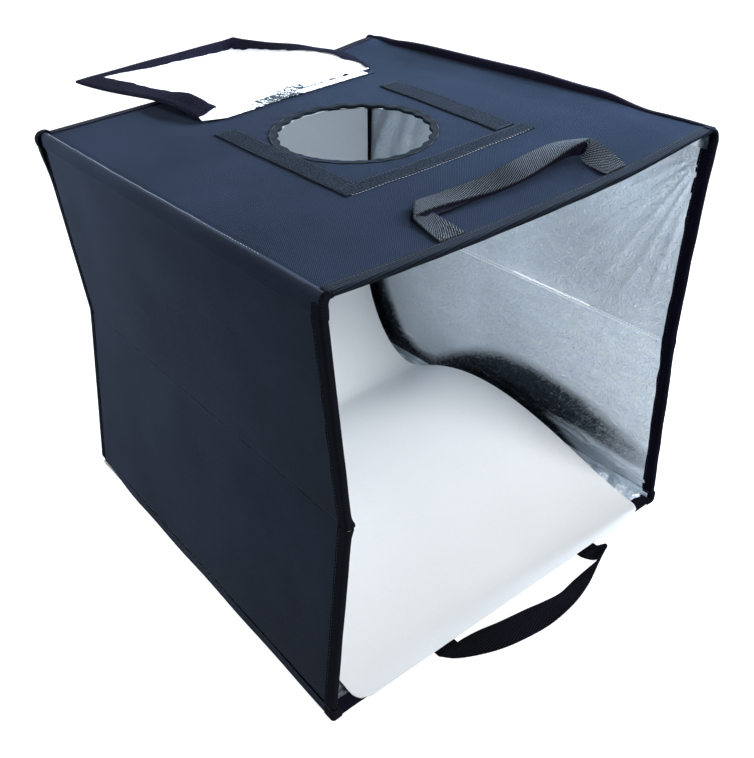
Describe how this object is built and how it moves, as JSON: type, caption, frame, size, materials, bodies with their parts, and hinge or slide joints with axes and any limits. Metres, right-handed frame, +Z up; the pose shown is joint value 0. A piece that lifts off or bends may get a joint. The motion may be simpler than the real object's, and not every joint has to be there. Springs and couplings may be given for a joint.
{
  "type": "light tent cube",
  "caption": "Folding photo light tent: stiffened black nylon box with silver lining, open front, round top port with hatch flap, webbing handles and a white sweep backdrop.",
  "frame": {"origin": "centre of the underside of the bottom panel, on the floor", "axes": "+X to the right as the open front is faced, -Y towards the open front, +Z up"},
  "size_m": [0.4545, 0.6494, 0.4369],
  "materials": {
    "nylon": "matte",
    "binding": "matte",
    "board": "matte",
    "silver": "satin",
    "tape": "matte",
    "webbing": "matte",
    "sheet": "satin"
  },
  "bodies": {
    "base": {"bottom_cover": "nylon", "bottom_board": "board", "bottom_lining": "silver", "bottom_front_binding": "binding", "bottom_back_binding": "binding", "bottom_left_band": "nylon", "bottom_right_band": "nylon", "back_cloth": "nylon", "back_lining": "silver", "backdrop_sheet": "sheet", "backdrop_hook_strip": "tape", "backdrop_loop_strip": "tape", "bottom_handle_left_end": "webbing", "bottom_handle_right_end": "webbing"},
    "left_lower": {"left_lower_cover": "nylon", "left_lower_board": "board", "left_lower_lining": "silver", "left_lower_front_binding": "binding", "left_lower_back_binding": "binding"},
    "left_upper": {"left_upper_cover": "nylon", "left_upper_board": "board", "left_upper_lining": "silver", "left_upper_front_binding": "binding", "left_upper_back_binding": "binding"},
    "right_lower": {"right_lower_cover": "nylon", "right_lower_board": "board", "right_lower_lining": "silver", "right_lower_front_binding": "binding", "right_lower_back_binding": "binding"},
    "right_upper": {"right_upper_cover": "nylon", "right_upper_board": "board", "right_upper_lining": "silver", "right_upper_front_binding": "binding", "right_upper_back_binding": "binding"},
    "top": {"top_cover": "nylon", "top_board": "board", "top_lining": "silver", "top_front_binding": "binding", "top_back_binding": "binding", "top_left_band": "nylon", "top_right_band": "nylon", "port_binding": "binding", "left_hook_strip": "tape", "right_hook_strip": "tape", "front_hook_strip": "tape", "flap_fold_strip": "nylon"},
    "flap": {"flap_cover": "nylon", "flap_foil": "silver", "flap_border": "tape"},
    "top_handle": {"top_handle": "webbing"},
    "bottom_handle": {"bottom_handle": "webbing"}
  },
  "joints": [
    {"name": "left_lower_fold", "type": "hinge", "parent": "base", "child": "left_lower", "pos_m": [-0.21245, 0, 0.0144], "axis": [0, 1, 0], "range_deg": [0, 86.5], "deforming": ["back_cloth", "back_lining", "backdrop_sheet", "backdrop_hook_strip", "backdrop_loop_strip"]},
    {"name": "left_upper_fold", "type": "hinge", "parent": "left_lower", "child": "left_upper", "pos_m": [-0.20802, 0, 0.213], "axis": [0, 1, 0], "range_deg": [-173, 0]},
    {"name": "top_fold", "type": "hinge", "parent": "left_upper", "child": "top", "pos_m": [-0.21245, 0, 0.4116], "axis": [0, 1, 0], "range_deg": [0, 86.5]},
    {"name": "right_lower_fold", "type": "hinge", "parent": "base", "child": "right_lower", "pos_m": [0.21245, 0, 0.0144], "axis": [0, 1, 0], "range_deg": [-86.5, 0]},
    {"name": "right_upper_fold", "type": "hinge", "parent": "right_lower", "child": "right_upper", "pos_m": [0.20802, 0, 0.213], "axis": [0, 1, 0], "range_deg": [0, 173]},
    {"name": "flap_fold", "type": "hinge", "parent": "top", "child": "flap", "pos_m": [0.024, 0.135, 0.4288], "axis": [1, 0, 0], "range_deg": [0, 180]},
    {"name": "top_handle_swing", "type": "hinge", "parent": "top", "child": "top_handle", "pos_m": [0.0145, -0.217, 0.42715], "axis": [1, 0, 0], "range_deg": [0, 170]},
    {"name": "bottom_handle_swing", "type": "hinge", "parent": "base", "child": "bottom_handle", "pos_m": [0.0145, -0.2353, 0.0007], "axis": [-1, 0, 0], "range_deg": [0, 90]}
  ],
  "couplings": [
    {"joint": "left_upper_fold", "follows": "left_lower_fold", "ratio": -2},
    {"joint": "top_fold", "follows": "left_lower_fold", "ratio": 1},
    {"joint": "right_lower_fold", "follows": "left_lower_fold", "ratio": -1},
    {"joint": "right_upper_fold", "follows": "left_lower_fold", "ratio": 2}
  ]
}
